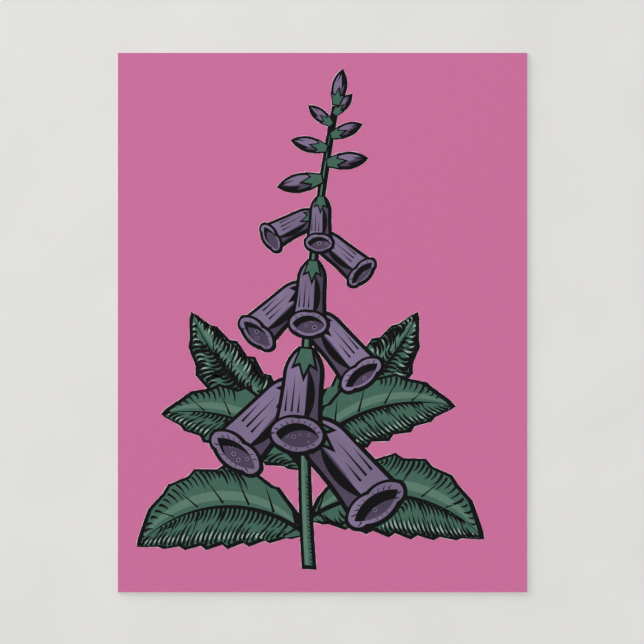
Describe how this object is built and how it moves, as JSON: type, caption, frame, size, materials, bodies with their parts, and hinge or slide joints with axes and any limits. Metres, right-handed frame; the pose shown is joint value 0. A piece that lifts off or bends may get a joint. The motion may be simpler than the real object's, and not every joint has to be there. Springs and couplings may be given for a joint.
{
  "type": "postcard",
  "caption": "Upright picture postcard of layered coated card, printed full-bleed with a bell-flower spire on a pink ground, and ruled without words on its back.",
  "frame": {"origin": "middle of the back face, on the plane the card lies on", "axes": "+X to the picture's right, +Y to the picture's top, +Z out of the printed face"},
  "size_m": [0.108, 0.1422, 0.0005],
  "materials": {
    "board": "matte",
    "coating": "satin",
    "pink_ink": "satin",
    "black_ink": "satin",
    "green_ink": "satin",
    "pale_green_ink": "satin",
    "purple_ink": "satin",
    "dark_purple_ink": "satin",
    "grey_ink": "matte"
  },
  "bodies": {
    "root": {"core_ply": "board", "front_ply": "board", "back_ply": "board", "front_coating": "coating", "pink_ground": "pink_ink", "black_key": "black_ink", "leaf_green": "green_ink", "flower_purple": "purple_ink", "leaf_highlight": "pale_green_ink", "flower_shadow": "dark_purple_ink", "black_pen": "black_ink", "back_divider": "grey_ink", "back_address_rules": "grey_ink", "back_stamp_box": "grey_ink"}
  },
  "joints": []
}
